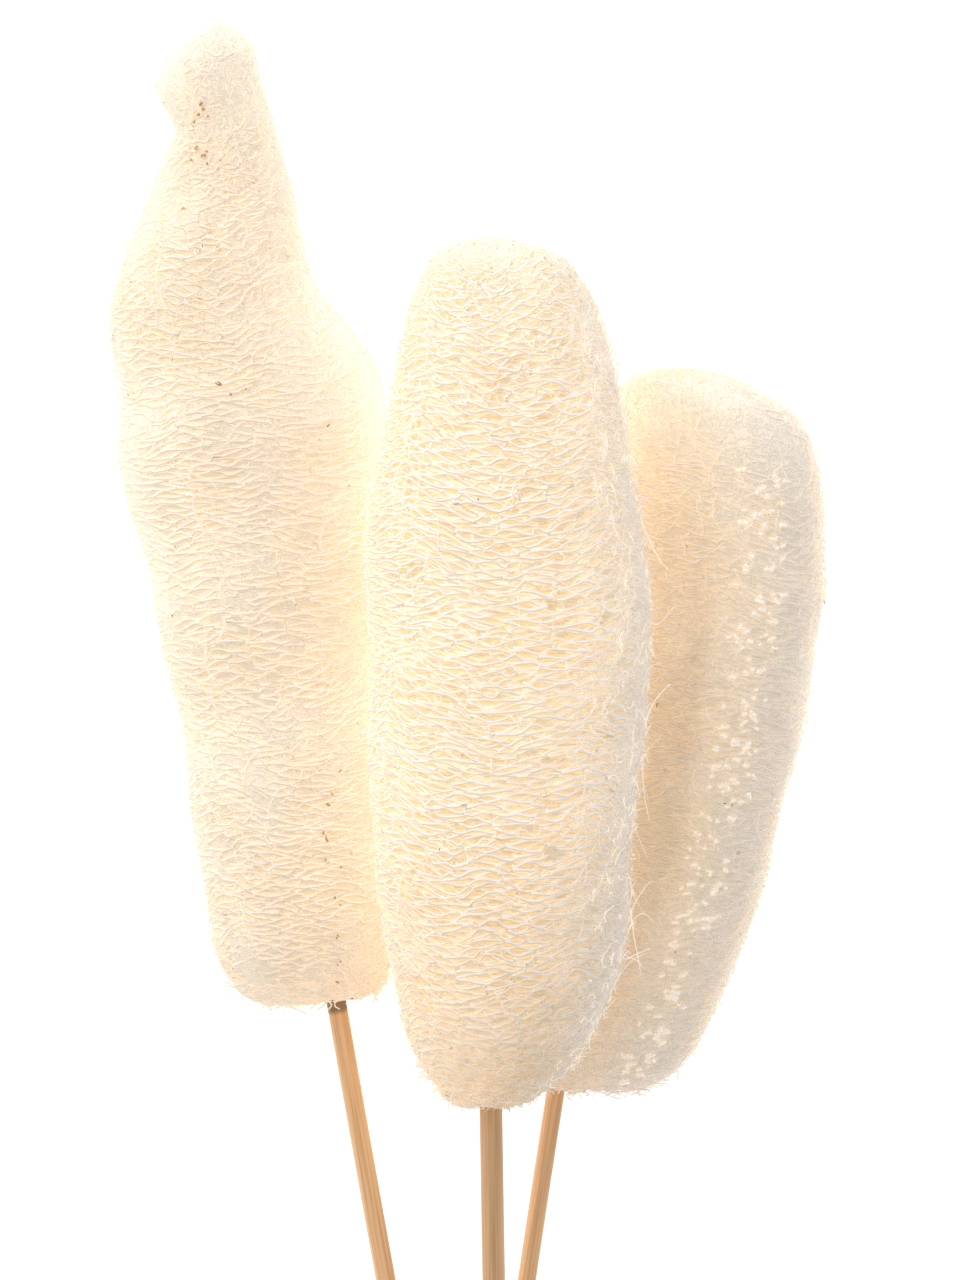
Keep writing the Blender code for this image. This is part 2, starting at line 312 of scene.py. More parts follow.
class Head(NamedTuple):
    """A luffa head: the stem's entry is its origin and +Y runs to its tip. Sizes in mm."""

    name: str
    stem: Stem
    lean: float  # degrees to the +X side, seen from above
    tilt: float  # degrees, tip upwards
    outline: tuple  # (distance from the entry, half width)
    sway: tuple  # (distance from the entry, sideways offset of the middle)
    flatness: float  # half height as a share of half width
    lumps: tuple  # (distance, angle in degrees from +X over the top, height, width)
    ribs: tuple  # degrees at which the rings gather, in rising order
    sag: float  # mm that the rings hang towards the base between two ribs
    mat: float  # mm from the surface down to the matted core
    gaps: tuple  # mm from ring to ring, in the outer and in the inner net
    strand: float  # radius of a strand of the outer net, in mm
    felt: tuple  # where the mat comes up and hides the net, as the marks below
    tan: tuple  # tan, partly painted shade: (run, run width, degrees, width in degrees, strength)
    grey: tuple  # the same for painted shade: the greyer parts on the shaded flanks and bases
    white: tuple  # the same for painted light: the whitest parts, on the lit and backlit edges and tops
    seed: int


STEM_LEFT = Stem(
    "stem_left", 2.3, (-28.26, 74.29, 21.5), -9.3, 3.4,
    (-2.66, -73.11, 15.2), (31.84, -266.11, 2.3),
)
STEM_MIDDLE = Stem(
    "stem_middle", 2.3, (4.04, 56.79, 46.4), -0.9, 7,
    (6.44, -73.11, 29.6), (11.04, -274.11, 2.3),
)
STEM_RIGHT = Stem(
    "stem_right", 2, (17.94, 55.09, 17.5), 8.6, 3.2,
    (-0.36, -73.11, 10.5), (-29.16, -270.11, 2),
)

# In each head, tan is partly painted shade, grey is painted shade and white is painted light.
LEFT = Head(
    name="luffa_left",
    stem=STEM_LEFT,
    lean=-6.4,
    tilt=3.6,
    outline=(
        (0.6, 8), (3.6, 14.2), (10.6, 18.6), (21.2, 21.2), (42.4, 22.7), (67.4, 23.7),
        (98.8, 26.6), (121.6, 27.6), (135.8, 25), (148.6, 21.3), (160.6, 17.6), (172.6, 13.1),
        (181.6, 10.5), (190.6, 10.3), (197.2, 8), (201.9, 0),
    ),
    sway=(
        (0, 0), (5, -3.6), (10.6, -4), (42.4, -2.4), (67.4, -1.7), (111.3, -2.8),
        (129.8, -3), (142, -6.2), (148.6, -7.4), (160.6, -6.4), (172.6, -3.2), (181.6, -1.2),
        (190.6, -2.8), (197.2, -2.4), (201.9, -1),
    ),
    flatness=1.07,
    lumps=(
        (191, 170, 1.2, 5), (182.6, 180, -1.3, 4.5), (179, 60, 1, 6),
        (3, 160, 1.4, 5),
    ),
    ribs=(25, 120, 215, 300),
    sag=2,
    mat=1.1,
    gaps=(0.88, 2.4),
    strand=0.18,
    felt=(
        (110, 900, 90, 900, 0.58), (214, 30, 90, 900, 0.4),
        (0, 20, 90, 900, 0.4),
    ),
    tan=(
        (0, 35, 60, 150, 0.55), (196, 14, 110, 70, 0.2),
        (120, 100, 60, 90, 0.3),
    ),
    grey=((20, 60, 160, 40, 0.2),),
    white=(
        (125, 60, 12, 34, 0.9), (222, 18, 90, 200, 0.4),
        (120, 110, 185, 26, 0.7),
    ),
    seed=11,
)
MIDDLE = Head(
    name="luffa_middle",
    stem=STEM_MIDDLE,
    lean=0.3,
    tilt=4.3,
    outline=(
        (0.2, 5.4), (2, 9.2), (7.8, 14.2), (13.7, 18.3), (19.9, 20.9), (32.3, 23.9),
        (52.8, 26), (83.4, 27.8), (103.6, 28.3), (123.6, 26.8), (143.5, 22.8), (159.3, 19.6),
        (167, 16.8), (173, 11.6), (175.5, 0),
    ),
    sway=(
        (0, 0), (7.8, 1.6), (32.3, 2.1), (83.4, 2.5), (103.6, 2.8), (133.6, 1.8),
        (153.4, 1.2), (167, 1.4), (175.5, 0.8),
    ),
    flatness=0.93,
    lumps=((166, 80, -1.6, 7), (8, 300, 0.8, 7)),
    ribs=(46, 140, 235, 320),
    sag=3.2,
    mat=1.5,
    gaps=(1, 1.45),
    strand=0.21,
    felt=(
        (95, 120, 6, 34, 1), (206, 26, 90, 900, 1),
        (0, 34, 60, 130, 1), (95, 200, 180, 30, 0.4),
    ),
    tan=((0, 50, 80, 200, 0.7), (12, 26, 62, 24, 0.4)),
    grey=((90, 110, 10, 36, 0.9), (26, 40, 30, 40, 0.5)),
    white=(
        (200, 22, 90, 200, 0.3), (180, 3, 92, 14, 0.6),
        (100, 110, 184, 18, 0.4),
    ),
    seed=23,
)
RIGHT = Head(
    name="luffa_right",
    stem=STEM_RIGHT,
    lean=10.6,
    tilt=0.8,
    outline=(
        (0.4, 7), (2, 12.8), (5.8, 15.8), (12.4, 18.4), (32.2, 21.2), (54.1, 22.8),
        (86, 22.8), (111, 23), (130, 22.4), (141, 20.4), (148, 15.8), (152.1, 0),
    ),
    sway=(
        (0, 0), (2, 4), (5.8, 7), (12.4, 8.7), (32.2, 10.6), (54.1, 12.8),
        (86, 13), (111, 12.6), (130, 9.8), (143, 5.8), (152.1, 0.5),
    ),
    flatness=0.84,
    lumps=((2, 320, 1, 8), (142, 150, 0.8, 10)),
    ribs=(20, 98, 200, 290),
    sag=1.5,
    mat=1.1,
    gaps=(0.88, 2.4),
    strand=0.18,
    felt=(
        (80, 900, 90, 900, 0.55), (164, 20, 90, 900, 0.4),
        (0, 22, 90, 900, 0.5),
    ),
    tan=(
        (70, 100, 130, 44, 1), (80, 35, 97, 7, 0.6),
        (40, 70, 80, 60, 0.4),
    ),
    grey=((80, 120, 42, 30, 0.8), (0, 25, 90, 150, 0.6)),
    white=((172, 18, 90, 200, 0.3), (90, 90, -5, 26, 0.9)),
    seed=37,
)
HEADS = (LEFT, MIDDLE, RIGHT)
print("radius of the net's strands in mm:", {head.name: head.strand for head in HEADS})

# %% [markdown]
# ## A head's surface as a formula
#
# A point of the surface is named by two numbers: its run, which is the distance along the
# outline from the rim of the stem's hole, and its angle round the head. A third number, its
# rise, lifts it off the surface or sinks it in. With that, a strand of fibre is a line in a flat
# map of run and angle, and the formula wraps it round the head.

# %% The outline, the unevenness and the skin
HOLE_CLEARANCE = 0.4  # mm between stem and hole
OUTLINE_STEPS = 24  # per span of the outline
SWELL = 0.5  # mm of slow unevenness
SWELL_LENGTHS = (30.0, 70.0)
ROUND_END = 6.0  # half width below which the unevenness fades out
THINNEST = 0.05  # mm of half width that is left at a pointed end
FLOOR_GAP = 0.4  # mm that the middle of a strand keeps from the table
FULL_TURN = 2.0 * math.pi


def catmull_rom(points, steps):
    """A smooth curve through all the points: each span is a cubic whose slope at its ends is
    half the way from the point before to the point after."""
    points = np.asarray(points, dtype=float)
    t = np.linspace(0.0, 1.0, steps, endpoint=False)[:, None]
    spans = []
    for i in range(1, len(points) - 2):
        before, start, end, after = points[i - 1:i + 3]
        bend = 2.0 * before - 5.0 * start + 4.0 * end - after
        twist = 3.0 * start - before - 3.0 * end + after
        spans.append(start + 0.5 * ((end - before) * t + bend * t ** 2 + twist * t ** 3))
    return np.vstack(spans + [points[-2:-1]])


def travelled(line):
    """How far along a line of points each point is."""
    return np.concatenate([[0.0], np.cumsum(np.linalg.norm(np.diff(line, axis=0), axis=1))])


@lru_cache
def outline_of(head):
    """Run along the outline, and at each run the distance, half width and outward direction."""
    through = [(0.0, head.stem.radius + HOLE_CLEARANCE), *head.outline]
    mirrored_start = (through[1][0], -through[1][1])
    mirrored_end = (through[-2][0], -through[-2][1])
    curve = catmull_rom([mirrored_start, *through, mirrored_end], OUTLINE_STEPS)
    step = np.gradient(curve, axis=0)
    step /= np.linalg.norm(step, axis=1)[:, None]
    return travelled(curve), (curve[:, 0], curve[:, 1], -step[:, 1], step[:, 0])


def length_of(head):
    """The whole run from the rim of the stem's hole to the tip, in mm."""
    return outline_of(head)[0][-1]


def half_width(head, run):
    """The outline's distance from the middle line at a run, in mm."""
    outline_run, curves = outline_of(head)
    return np.interp(run, outline_run, curves[1])


def unevenness(head, along, angle):
    """Slow sine waves along and round the head, drawn from its seed, and its lumps as bells."""
    draw = np.random.default_rng(head.seed)
    shift = np.zeros(np.broadcast(along, angle).shape)
    for turns in (1, 2, 3, 4):
        wave_length = draw.uniform(*SWELL_LENGTHS)
        phase = draw.uniform(0.0, FULL_TURN)
        shift += SWELL / turns * np.sin(turns * angle + FULL_TURN * along / wave_length + phase)
    for distance, degrees, height, width in head.lumps:
        around = np.angle(np.exp(1j * (angle - math.radians(degrees))))
        across = around * np.interp(distance, *zip(*head.outline))
        shift += height * np.exp(-((along - distance) ** 2 + across ** 2) / width ** 2)
    return shift


@lru_cache
def placement(head):
    """The head's turn as a matrix, and its place, in millimetres."""
    turn = Matrix.Rotation(math.radians(-head.lean), 3, "Z")
    turn = turn @ Matrix.Rotation(math.radians(head.tilt), 3, "X")
    return np.array(turn), np.array(head.stem.entry)


def skin(head, run, angle, rise=0.0):
    """Points at the given run, angle and rise above the surface, in millimetres.

    The outline gives a half width and a distance along the head. The point is that far out from
    the swaying middle line, at the angle round it, on an ellipse as flat as the head. Rise and
    unevenness move it along the outline's outward direction. Nothing reaches the table.
    """
    outline_run, curves = outline_of(head)
    along, wide, out_along, out_across = (np.interp(run, outline_run, c) for c in curves)
    fade = np.clip(wide / ROUND_END, 0.0, 1.0)
    lift = unevenness(head, along, angle) * fade + rise
    reach = np.maximum(wide + out_across * lift, THINNEST)
    local = np.stack([
        np.interp(along, *zip(*head.sway)) + reach * np.cos(angle),
        along + out_along * lift,
        reach * head.flatness * np.sin(angle),
    ], axis=-1)
    turn, place = placement(head)
    points = local @ turn.T + place
    points[..., 2] = np.maximum(points[..., 2], FLOOR_GAP)
    return points


for head in HEADS:
    print(head.name, "outline length in mm:", round(length_of(head), 1))

# %% [markdown]
# ## Strands as thin tubes
#
# The strands of the net are flattened, about 0.6 mm wide and 0.2 mm thick, and the finest hairs
# are about 0.15 mm. Hair curves would be the easy way, but they aren't a mesh, and are lost when
# the object is saved for other programs. So each strand is a tube with three sides and smooth
# shading, which reads as round at this size and costs only a couple of dozen triangles.

# %% Sweep tubes along many lines at once
STRAND_SIDES = 3
PALE_TINT = 1.0
SCRAP_TINT = 2.0
TONE_MARKS = ("tan", "grey", "white")


class Strands(NamedTuple):
    """Many strands of one kind: arrays with one row for each strand. Sizes in mm and radians."""

    run: np.ndarray
    angle: np.ndarray
    rise: np.ndarray
    radius: np.ndarray
    tint: np.ndarray  # lighter from 0 to 1, pale from PALE_TINT (bleached hairs, and painted glints on the short head), a scrap from SCRAP_TINT
    closed: bool
    wide: float  # how much wider than round a strand is, and thinner by the same share


def unit(vectors):
    """The vectors divided by their lengths."""
    return vectors / np.maximum(np.linalg.norm(vectors, axis=-1, keepdims=True), 1e-9)


def outward_of(head, run, angle):
    """Unit vectors pointing straight out of the head: how a point moves as it rises."""
    return unit(skin(head, run, angle, 1.0) - skin(head, run, angle))


def sweep(lines, outward, radius, closed, wide):
    """Tubes along lines (n, p, 3): rings of points stand across each line's direction.

    A ring's points are centre + radius (cos a * wide * side + sin a / wide * up), where side lies
    across the line and in the surface, and up is square to both. Closed lines bite their own
    tail, and the others get a cap at each end. Returns points and faces.
    """
    count, steps = lines.shape[:2]
    if closed:
        ahead = unit(np.roll(lines, -1, axis=1) - np.roll(lines, 1, axis=1))
    else:
        ahead = unit(np.gradient(lines, axis=1))
    side = unit(np.cross(ahead, outward))
    up = np.cross(side, ahead) / wide
    side = side * wide
    a = FULL_TURN * (np.arange(STRAND_SIDES) + 0.25) / STRAND_SIDES
    ring = np.cos(a)[:, None] * side[:, :, None, :] + np.sin(a)[:, None] * up[:, :, None, :]
    points = lines[:, :, None, :] + radius[:, :, None, None] * ring
    index = np.arange(count * steps * STRAND_SIDES).reshape(count, steps, STRAND_SIDES)
    onward = np.roll(index, -1, axis=1)
    beside = np.roll(index, -1, axis=2)
    walls = np.stack([index, onward, np.roll(onward, -1, axis=2), beside], axis=-1)
    if closed:
        return points.reshape(-1, 3), [walls.reshape(-1, 4)]
    caps = np.concatenate([index[:, 0], index[:, -1, ::-1]])
    return points.reshape(-1, 3), [walls[:, :-1].reshape(-1, 4), caps]


def marked(head, marks, run, angle):
    """Strength of a mark at each point, 0 to 1: bells along and round the head, added up."""
    total = np.zeros(np.broadcast(run, angle).shape)
    for middle, run_width, degrees, spread, strength in marks:
        around = np.degrees(np.angle(np.exp(1j * (angle - math.radians(degrees)))))
        total += strength * np.exp(-((run - middle) / run_width) ** 2 - (around / spread) ** 2)
    return np.clip(total, 0.0, 1.0)


def tone_marks_of(head, run, angle):
    """How tan, grey and white the head is at each point, as a dictionary: tan partly painted shade,
    grey painted shade, white painted light.
    """
    return {key: marked(head, getattr(head, key), run, angle) for key in TONE_MARKS}


def make_strands(name, head, batches, finish):
    """One piece from batches of strands, each a Strands of arrays of shape (n, p).

    Its points carry depth, which is 0 at the surface and 1 at DEEP below it, the tint of their
    own strand, and how tan, grey and white the head is there: tan partly painted shade, grey
    painted shade, white painted light.
    """
    all_points, all_faces = [], []
    values = {key: [] for key in ("depth", "tint", *TONE_MARKS)}
    first = 0
    for run, angle, rise, radius, tint, closed, wide in batches:
        lines = skin(head, run, angle, rise)
        points, faces = sweep(lines, outward_of(head, run, angle), radius, closed, wide)
        all_points.append(points)
        all_faces += [face + first for face in faces]
        numbers = {"depth": np.clip(-rise / DEEP, 0.0, 1.0), "tint": tint}
        for key, number in (numbers | tone_marks_of(head, run, angle)).items():
            values[key].append(np.repeat(number.ravel(), STRAND_SIDES))
        first += len(points)
    values = {key: np.concatenate(parts) for key, parts in values.items()}
    piece = lay_mesh(name, np.vstack(all_points) * MM, all_faces, values)
    corners = np.empty(len(piece.data.polygons), dtype=np.int32)
    piece.data.polygons.foreach_get("loop_total", corners)
    piece.data.polygons.foreach_set("use_smooth", corners == 4)
    finish.wear(piece)
    return piece


for head in HEADS:
    print(head.name, "stains:", {key: len(getattr(head, key)) for key in TONE_MARKS})

# %% [markdown]
# ## A net of lens-shaped cells
#
# The outer strands run round the head like rings, and each one touches the ring above and the
# ring below by turns. That makes cells like slit and stretched paper: about 6 mm long and 2 mm
# high. Drawing rings and pulling them together would be hard, so the net starts from the
# knots where two strands touch. They stand on a staggered lattice and stray from it at random,
# and each half of a cell's edge eases from one knot to the next. Between a few lengthwise ribs
# the rings hang like garlands. The cells are nearly twice as long on the underside, which lies on
# the table, so that the faces go where they are seen.

# %% The lattice of knots and the strands between them
DEEP = 2.0  # mm below the surface that counts as deepest
CROWD = 0.3  # share by which cells are shorter on top, and longer underneath
SUNK = 0.14  # mm that the strands sink where the mat hides them
USUAL_GIRTH = 25.0 * FULL_TURN  # mm round a head, to count the spots of a noise
KNOT_STRAY = (0.32, 0.30, 0.15)  # share of a cell, share of a row, and mm of rise
KNOT_STEPS = 3
ARCH = (-0.5, 0.15)  # mm that a stretch between two knots sinks or arches up
DIVE = -2.6  # mm of rise in the middle of a broken stretch
BROKEN = 0.12  # share of broken stretches
END_CALM = 25.0  # mm at each end of a head where the rings calm down


def smooth(t):
    """Eases from 0 to 1: three times the square less twice the cube."""
    return t * t * (3.0 - 2.0 * t)


def mottle(head, run, angle, cell, seed):
    """Smooth noise from -1 to 1: random values on a lattice of cell mm, eased in between."""
    around = max(3, round(USUAL_GIRTH / cell))
    rows = int(length_of(head) / cell) + 3
    lattice = np.random.default_rng(seed).uniform(-1.0, 1.0, (rows, around))
    u = run / cell
    v = angle / FULL_TURN * around
    i = np.floor(u).astype(int)
    j = np.floor(v).astype(int)
    onward = smooth(u - i)
    sideways = smooth(v - j)

    def along_row(row):
        """The values of one row of the lattice, eased round the head."""
        here, next_to_it = lattice[row % rows, j % around], lattice[row % rows, (j + 1) % around]
        return here * (1.0 - sideways) + next_to_it * sideways

    return along_row(i) * (1.0 - onward) + along_row(i + 1) * onward


def felted(head, run, angle):
    """How far the mat comes up, 0 to 1: the places that the head names, and uneven patches."""
    patches = 0.3 * mottle(head, run, angle, 9.0, head.seed + 60)
    return np.clip(marked(head, head.felt, run, angle) + patches, 0.0, 1.0)


def knot_rings(cells, rows, beside, draw):
    """The knots that each ring passes, as (rows, 2 cells, 3): place along, place across, rise.

    Knots stand at whole numbers across, and along at whole numbers on even rows and at halves on
    odd rows. Each strays by up to KNOT_STRAY. The ring between two rows of knots takes one from
    each by turns, and stays on its own side of both by the amount beside.
    """
    strays = draw.uniform(-1.0, 1.0, (rows + 1, cells, 3)) * np.array(KNOT_STRAY)
    row = np.arange(rows + 1)[:, None]
    column = np.arange(cells)[None, :]
    place = np.stack(np.broadcast_arrays(column + 0.5 * (row % 2), row, 0.0 * row), axis=-1)
    knots = place + strays
    own_side = np.array((0.0, beside, 0.0))
    below = knots[:-1] + own_side
    above = knots[1:] - own_side
    even = (row[:-1] % 2 == 0)[..., None]
    turns = np.stack([np.where(even, below, above), np.where(even, above, below)], axis=2)
    return turns.reshape(rows, 2 * cells, 3)


def eased_rings(knots, cells, draw):
    """Lines through the knots of each ring, with KNOT_STEPS points from one knot to the next.

    Along, a line runs evenly. Across, it leaves its knot flat and arrives flat, so two strands
    that share a knot lie side by side there. In between it arches up or sinks, and the broken
    stretches dive out of sight into the core.
    """
    t = np.arange(KNOT_STEPS) / KNOT_STEPS
    onward = np.roll(knots, -1, axis=1)
    onward[:, -1, 0] += cells
    stretches = knots.shape[:2] + (1,)
    ease = smooth(np.clip((t - 0.1) / 0.8, 0.0, 1.0))
    middle = np.sin(math.pi * t)
    along = knots[..., :1] + (onward[..., :1] - knots[..., :1]) * t
    across = knots[..., 1:2] + (onward[..., 1:2] - knots[..., 1:2]) * ease
    across = across + middle * draw.uniform(-0.25, 0.25, stretches)
    dive = np.where(draw.random(stretches) < BROKEN, DIVE, draw.uniform(*ARCH, stretches))
    rise = knots[..., 2:] + (onward[..., 2:] - knots[..., 2:]) * t + middle * dive
    return [line.reshape(len(knots), -1) for line in (along, across, rise)]


def rib_wander(head, run):
    """How far the ribs stray sideways along the head, in radians."""
    return 0.16 * np.sin(run / 19.0 + head.seed) + 0.09 * np.sin(run / 7.5 + 2.0 * head.seed)


def sag(head, run, angle):
    """How far a ring hangs back: nothing at a rib, most halfway to the next, like a garland."""
    ribs = np.radians(head.ribs)
    ribs = np.concatenate([ribs[-1:] - FULL_TURN, ribs, ribs[:1] + FULL_TURN])
    from_first = (angle - rib_wander(head, run) - ribs[0]) % FULL_TURN + ribs[0]
    return -head.sag * np.abs(np.sin(math.pi * np.interp(from_first, ribs, np.arange(len(ribs)))))


def drifted(head, run, angle, seed):
    """Run and angle shifted by the sag and by slow noise: the rings hang, crowd and spread."""
    length = length_of(head)
    fade = smooth(np.clip(np.minimum(run, length - run) / END_CALM, 0.0, 1.0))
    noise = 2.1 * mottle(head, run, angle, 19.0, seed) + mottle(head, run, angle, 7.0, seed + 1)
    turn = 0.055 * mottle(head, run, angle, 14.0, seed + 2)
    shifted = run + fade * (sag(head, run, angle) + noise)
    return np.clip(shifted, 0.05, length - 0.05), angle + turn


print("rows of knots:", {head.name: round(length_of(head) / head.gaps[0]) for head in HEADS})

# %% [markdown]
# ## The net, ring by ring
#
# The strands of a real net are flattened against the head, and their thickness and tone change
# slowly from place to place. Drawing each at random would look like static, so the same smooth
# noise that moves the rings also sets these.

# %% Rings of strands
OUTER_CELL = 9.0  # mm from knot to knot
INNER_CELL = 10.5
COUNTED_AT = 0.6  # share of the length where the cells round a head are counted
FLATTENED = 1.7  # how much wider than round the net's strands are


def ring_net(head, cell_length, row_gap, level, radius, seed):
    """A net of closed rings that follow each other along the head.

    The angle is an even turn plus CROWD times its cosine: short steps on top, long ones below.
    """
    draw = np.random.default_rng(seed)
    length = length_of(head)
    cells = round(FULL_TURN * half_width(head, COUNTED_AT * length) / cell_length)
    rows = round(length / row_gap)
    knots = knot_rings(cells, rows, 0.9 * radius / row_gap, draw)
    along, across, rise = eased_rings(knots, cells, draw)
    turn = along * FULL_TURN / cells
    turn = turn + CROWD * np.cos(turn)
    run, angle = drifted(head, across * length / rows, turn, seed)
    level = level - SUNK * felted(head, run, angle)
    thick = 1.0 + 0.3 * mottle(head, 3.0 * run, 3.0 * angle, 9.0, seed + 3)
    tint = 0.5 + 0.5 * mottle(head, 2.0 * run, 2.0 * angle, 7.0, seed + 4)
    return Strands(run, angle, rise + level, radius * thick, tint, True, FLATTENED)


print("a cell's length over the mean: on top", 1.0 - CROWD, "and underneath", 1.0 + CROWD)

# %% [markdown]
# ## Stray fibres, tangles and hairs
#
# Between the strands of the net run finer fibres that follow no lattice, and broken ones stand
# off the surface as fuzz. Each starts at a random place and walks with a heading that keeps
# turning, so the whole crowd of them is one running sum over an array.

# %% Fibres that wander
class Kind(NamedTuple):
    """A kind of loose fibre. Sizes in mm, angles in radians, ranges as lowest and highest."""

    count: int
    steps: int  # points of each fibre
    length: tuple
    curl: float  # most that the heading turns from end to end
    level: tuple  # rise at the root
    lift: tuple  # more rise at the free end
    radius: float
    heading: tuple = (0.0, math.pi)  # 0 is round the head
    place: tuple = None  # where it grows: a range of runs, then one of angles


def roving(head, kind, seed):
    """Fibres of one kind that walk over the head from random places.

    The heading turns evenly by up to the curl, plus a wiggle. A fibre's rise grows from its root
    to its free end, and its radius shrinks by 45%.
    """
    draw = np.random.default_rng(seed)
    each = (kind.count, 1)
    anywhere = (1.0, length_of(head) - 1.0, 0.0, FULL_TURN)
    low_run, high_run, low_angle, high_angle = kind.place or anywhere
    start = draw.uniform(low_run, high_run, each)
    turn = draw.uniform(low_angle, high_angle, each)
    size = draw.uniform(*kind.length, each)
    way = draw.uniform(*kind.heading, each) + math.pi * draw.integers(0, 2, each)
    bend = draw.uniform(-kind.curl, kind.curl, each)
    wiggle = draw.uniform(-0.5, 0.5, each)
    t = np.linspace(0.0, 1.0, kind.steps)[None, :]
    heading_now = way + bend * t + wiggle * np.sin(draw.uniform(3.0, 8.0, each) * t)
    pace = size / (kind.steps - 1)
    forward = np.cumsum(np.sin(heading_now) * pace, axis=1)
    sideways = np.cumsum(np.cos(heading_now) * pace, axis=1)
    run = np.clip(start + forward, 0.1, length_of(head) - 0.1)
    angle = turn + sideways / np.maximum(half_width(head, start), 2.5)
    rise = draw.uniform(*kind.level, each) + draw.uniform(*kind.lift, each) * t ** 1.6
    radii = kind.radius * draw.uniform(0.7, 1.3, each) * (1.0 - 0.45 * t)
    tint = np.repeat(draw.random(each), kind.steps, axis=1)
    return Strands(run, angle, rise, radii, tint, False, 1.0)


def gathered(head, strands, degrees, spread, seed):
    """The same strands, moved sideways so that they start near one of the given angles."""
    draw = np.random.default_rng(seed)
    count = len(strands.run)
    rib = np.radians(draw.choice(degrees, count)) + draw.normal(0.0, spread, count)
    target = rib + rib_wander(head, strands.run[:, 0])
    return strands._replace(angle=strands.angle + (target - strands.angle[:, 0])[:, None])


print("degrees at which fibres gather:", {head.name: head.ribs for head in HEADS})

# %% [markdown]
# ## The matted core
#
# Deeper in, the strands merge into a mat that no one can tell apart. It is one closed surface
# under the net, pushed in and out by noise, with the stem's hole in its base. It carries its run
# as a number, so that the finish can draw fine streaks round the head without a seam.

# %% The core as a grid of rings
CORE_RINGS = 160
CORE_SIDES = 80
CORE_CALM = 6.0  # mm at each end over which the core comes up to the skin
HOLE_DEPTH = 40.0


def closed_tube(rings, start, end):
    """Points and faces of a tube through (n, sides, 3) rings, with a fan to a point at each end."""
    count, sides = rings.shape[:2]
    index = np.arange(count * sides).reshape(count, sides)
    beside = np.roll(index, -1, axis=1)
    walls = np.stack([index[:-1], beside[:-1], beside[1:], index[1:]], axis=-1).reshape(-1, 4)
    hub = np.full(sides, count * sides)
    start_fan = np.stack([beside[0], index[0], hub], axis=-1)
    end_fan = np.stack([index[-1], beside[-1], hub + 1], axis=-1)
    return np.vstack([rings.reshape(-1, 3), start, end]), [walls, start_fan, end_fan]


def direction(lean, rise):
    """Unit vector from a stem's cut end towards its head, from its lean and rise in degrees."""
    flat = math.cos(math.radians(rise))
    return np.array((
        flat * math.sin(math.radians(lean)),
        flat * math.cos(math.radians(lean)),
        math.sin(math.radians(rise)),
    ))


def make_core(head, finish):
    """Rings from the floor of the stem's hole, out of the hole and along the outline to the tip."""
    length = length_of(head)
    run = np.linspace(0.0, length - 0.6, CORE_RINGS)[:, None]
    angle = np.linspace(0.0, FULL_TURN, CORE_SIDES, endpoint=False)[None, :]
    run, angle = np.broadcast_arrays(run, angle)
    bumps = 0.25 * mottle(head, run, angle, 6.0, head.seed + 50)
    bumps = bumps + 0.15 * mottle(head, run, angle, 3.0, head.seed + 51)
    felt = felted(head, run, angle)
    ends = smooth(np.clip(np.minimum(run, length - run) / CORE_CALM, 0.0, 1.0))
    rise = bumps * (1.0 - 0.5 * felt) - head.mat * (1.0 - 0.85 * felt)
    body = skin(head, run, angle, rise * ends)
    into = direction(head.stem.lean, head.stem.rise)
    side = unit(np.cross(into, (0.0, 0.0, 1.0)))
    up = np.cross(side, into)
    circle = np.cos(angle[:1, :, None]) * side + np.sin(angle[:1, :, None]) * up
    rim = np.array(head.stem.entry) + (head.stem.radius + HOLE_CLEARANCE) * circle
    rings = np.concatenate([rim + HOLE_DEPTH * into, rim + 0.5 * into, body])
    tip = skin(head, np.array([length - 0.1]), np.array([0.0]))
    floor = np.array(head.stem.entry) + HOLE_DEPTH * into
    points, faces = closed_tube(rings, floor, tip)

    def everywhere(number, in_hole, at_tip):
        """The number of each point: two rings in the hole, the body, the hole's floor, the tip."""
        hole = np.full(2 * CORE_SIDES, in_hole)
        return np.concatenate([hole, number.ravel(), [in_hole, at_tip]])

    values = {"run": everywhere(run, 0.0, length), "felt": everywhere(felt, 0.0, 1.0)}
    for key, mark in tone_marks_of(head, run, angle).items():
        # Inside the stem's hole the core is fully tan with the dim deep glow: painted shade in the
        # hole.
        values[key] = everywhere(mark, float(key == "tan"), 0.0)
    piece = lay_mesh(head.name + "_core", points * MM, faces, values)
    finish.wear(piece)
    return piece


print("core:", CORE_RINGS + 2, "rings of", CORE_SIDES, "points")

# %% [markdown]
# ## The finish of the fibre
#
# Bleached fibre is nearly white where light strikes it, and warm where light has passed through
# several strands. Light wanders far inside such a pale tangle, and tracing that would take
# hours, so a faint glow that is warmer in the depth stands for it, and the straw and peach
# colours of the depth paint the same warmth. The finish also reads how tan, grey and white each
# point is: the base of a head is darker and tan, partly painted shade; the grey of the shaded
# flanks is painted shade; and the white of the lit edges is painted light.

# %% Finish the strands and the core
CREAM = (0.97, 0.89, 0.81, 1.0)
# Straw and peach, the colours of the depth, are partly painted light: the warmth of light that has
# passed through strands.
STRAW = (0.97, 0.83, 0.58, 1.0)
PEACH = (0.97, 0.80, 0.54, 1.0)
FELT = (0.97, 0.85, 0.66, 1.0)
# Tan is partly the head's own colour and partly painted shade: in another head's shadow, along a
# groove, towards the base.
TAN_AND_SHADE = (0.82, 0.66, 0.48, 1.0)
# Grey is painted shade, and so is the dimmer glow that goes with it.
PAINTED_SHADE_GREY = (0.83, 0.79, 0.75, 1.0)
